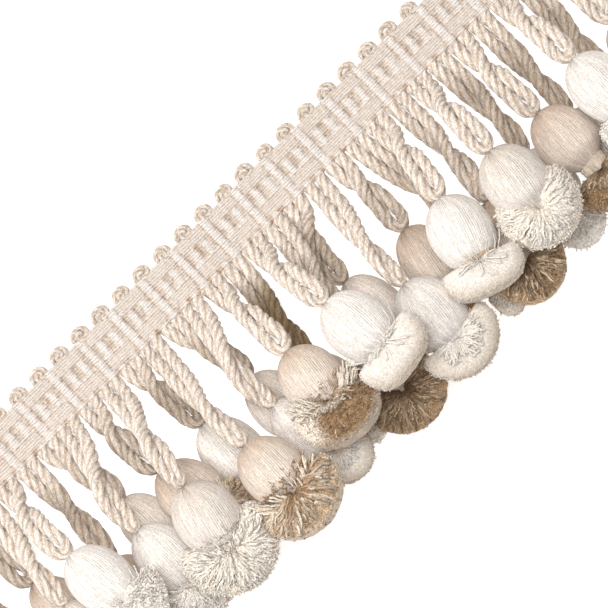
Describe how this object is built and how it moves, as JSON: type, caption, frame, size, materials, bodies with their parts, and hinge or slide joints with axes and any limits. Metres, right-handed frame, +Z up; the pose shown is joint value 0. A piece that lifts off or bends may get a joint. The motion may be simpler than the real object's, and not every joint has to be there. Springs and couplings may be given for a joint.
{
  "type": "onion tassel fringe",
  "caption": "Woven heading braid with picots above and plied bullion loops below, each loop ending in a plump yarn onion tassel with a short flared ruff.",
  "frame": {"origin": "middle of the heading braid's flat back, on the surface that the fringe lies on", "axes": "+X along the heading, -Y toward the tassels' cut ends, +Z up from the surface, out of the braid's face"},
  "size_m": [0.3029, 0.1056, 0.0504],
  "materials": {
    "heading_braid": "woven braid of matt ecru yarn with lighter ribs",
    "cord_ecru": "plied yarn cord",
    "yarn_white": "fine matt yarn",
    "yarn_beige": "fine matt yarn with darker cut ends",
    "yarn_cream": "fine matt yarn"
  },
  "bodies": {
    "root": {"heading": "heading_braid", "cord_skirt": "cord_ecru", "tassel_01": "yarn_white", "tassel_02": "yarn_beige", "tassel_03": "yarn_cream", "tassel_04": "yarn_white", "tassel_05": "yarn_beige", "tassel_06": "yarn_cream", "tassel_07": "yarn_white", "tassel_08": "yarn_beige", "tassel_09": "yarn_cream", "tassel_10": "yarn_white", "tassel_11": "yarn_beige", "tassel_12": "yarn_cream", "tassel_13": "yarn_white", "tassel_14": "yarn_beige", "tassel_15": "yarn_cream", "tassel_16": "yarn_white", "tassel_17": "yarn_beige", "tassel_18": "yarn_cream", "tassel_19": "yarn_white", "tassel_20": "yarn_beige", "tassel_21": "yarn_cream", "tassel_22": "yarn_white", "tassel_23": "yarn_beige", "tassel_24": "yarn_cream", "tassel_25": "yarn_white", "tassel_26": "yarn_beige", "tassel_27": "yarn_cream", "tassel_28": "yarn_white", "tassel_29": "yarn_beige", "tassel_30": "yarn_cream"}
  },
  "joints": []
}
